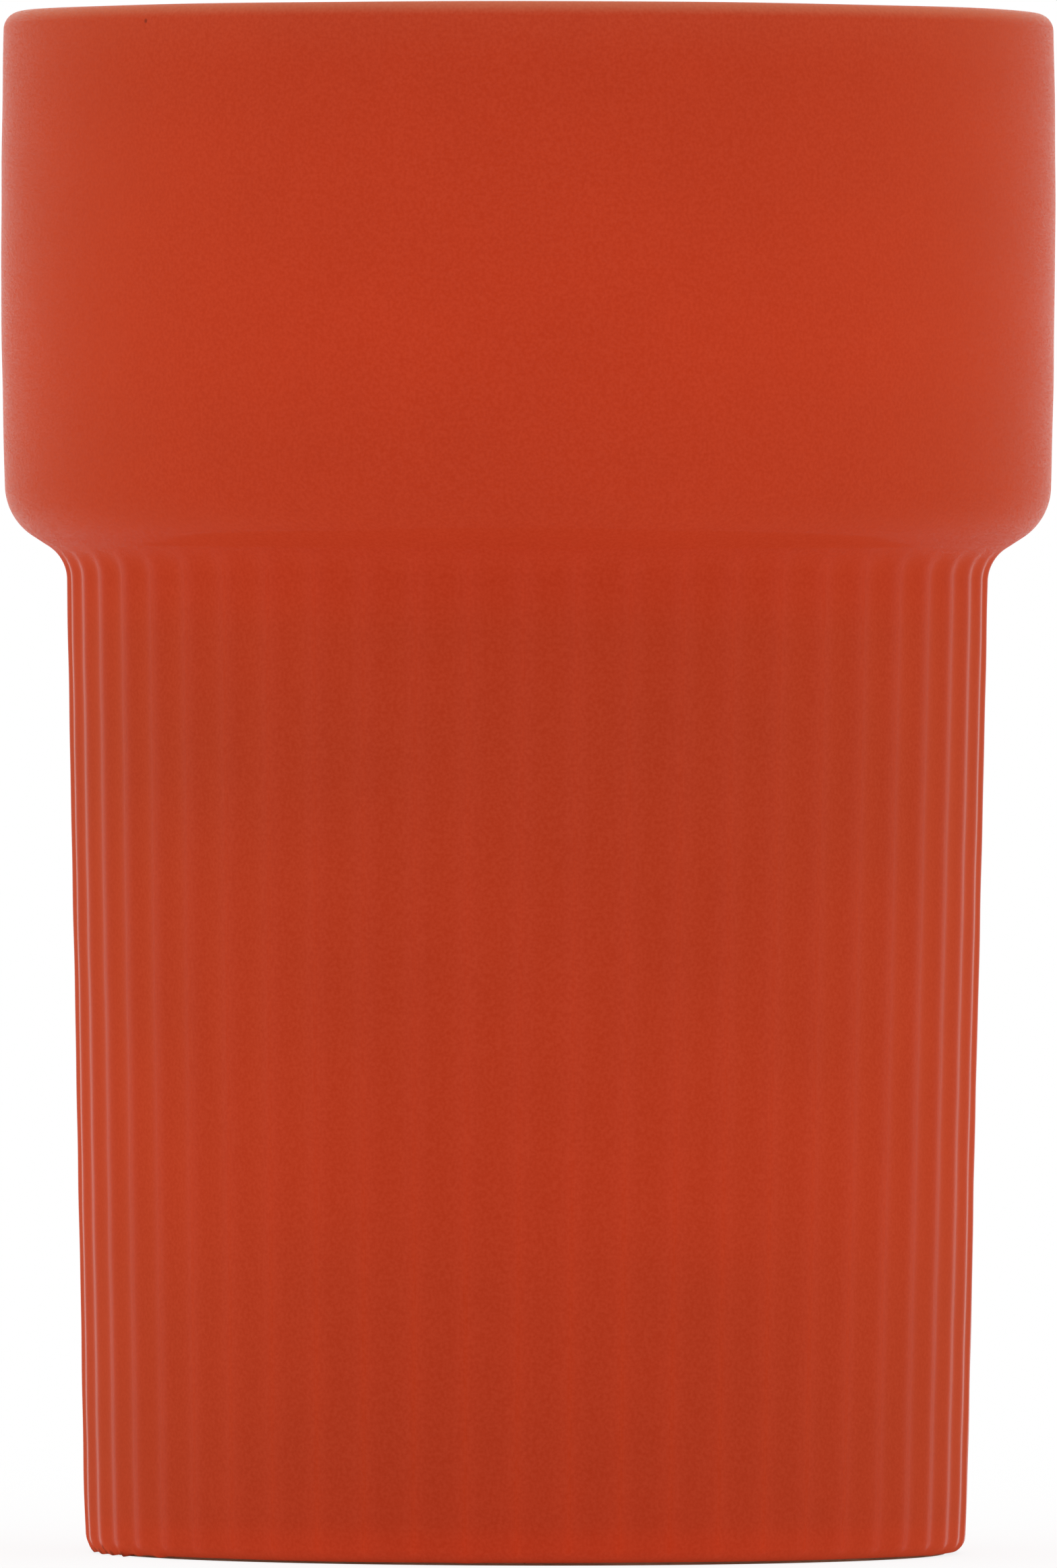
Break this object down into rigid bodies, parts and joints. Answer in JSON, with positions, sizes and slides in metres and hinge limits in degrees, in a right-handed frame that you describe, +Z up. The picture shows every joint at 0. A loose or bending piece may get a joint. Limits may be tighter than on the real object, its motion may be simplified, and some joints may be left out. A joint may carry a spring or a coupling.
{
  "type": "fluted clay cup",
  "caption": "Round clay tumbler with a smooth barrel collar, a rounded shoulder, a fluted tapering wall and a bare foot ring, coated outside and glazed inside.",
  "frame": {"origin": "centre of the foot, on the table", "axes": "+Z up along the cup's axis, towards the lip; +X and +Y across it"},
  "size_m": [0.08, 0.08, 0.1169],
  "materials": {
    "fired_clay": "bare fired clay, matte and slightly gritty",
    "matte_coat": "matte orange-red coat with a fine speckle",
    "liner": "orange-red glaze, satin",
    "recess": "orange-red glaze, satin"
  },
  "bodies": {
    "root": {"clay_body": "fired_clay", "outer_coat": "matte_coat", "liner_glaze": "liner", "recess_glaze": "recess"}
  },
  "joints": []
}
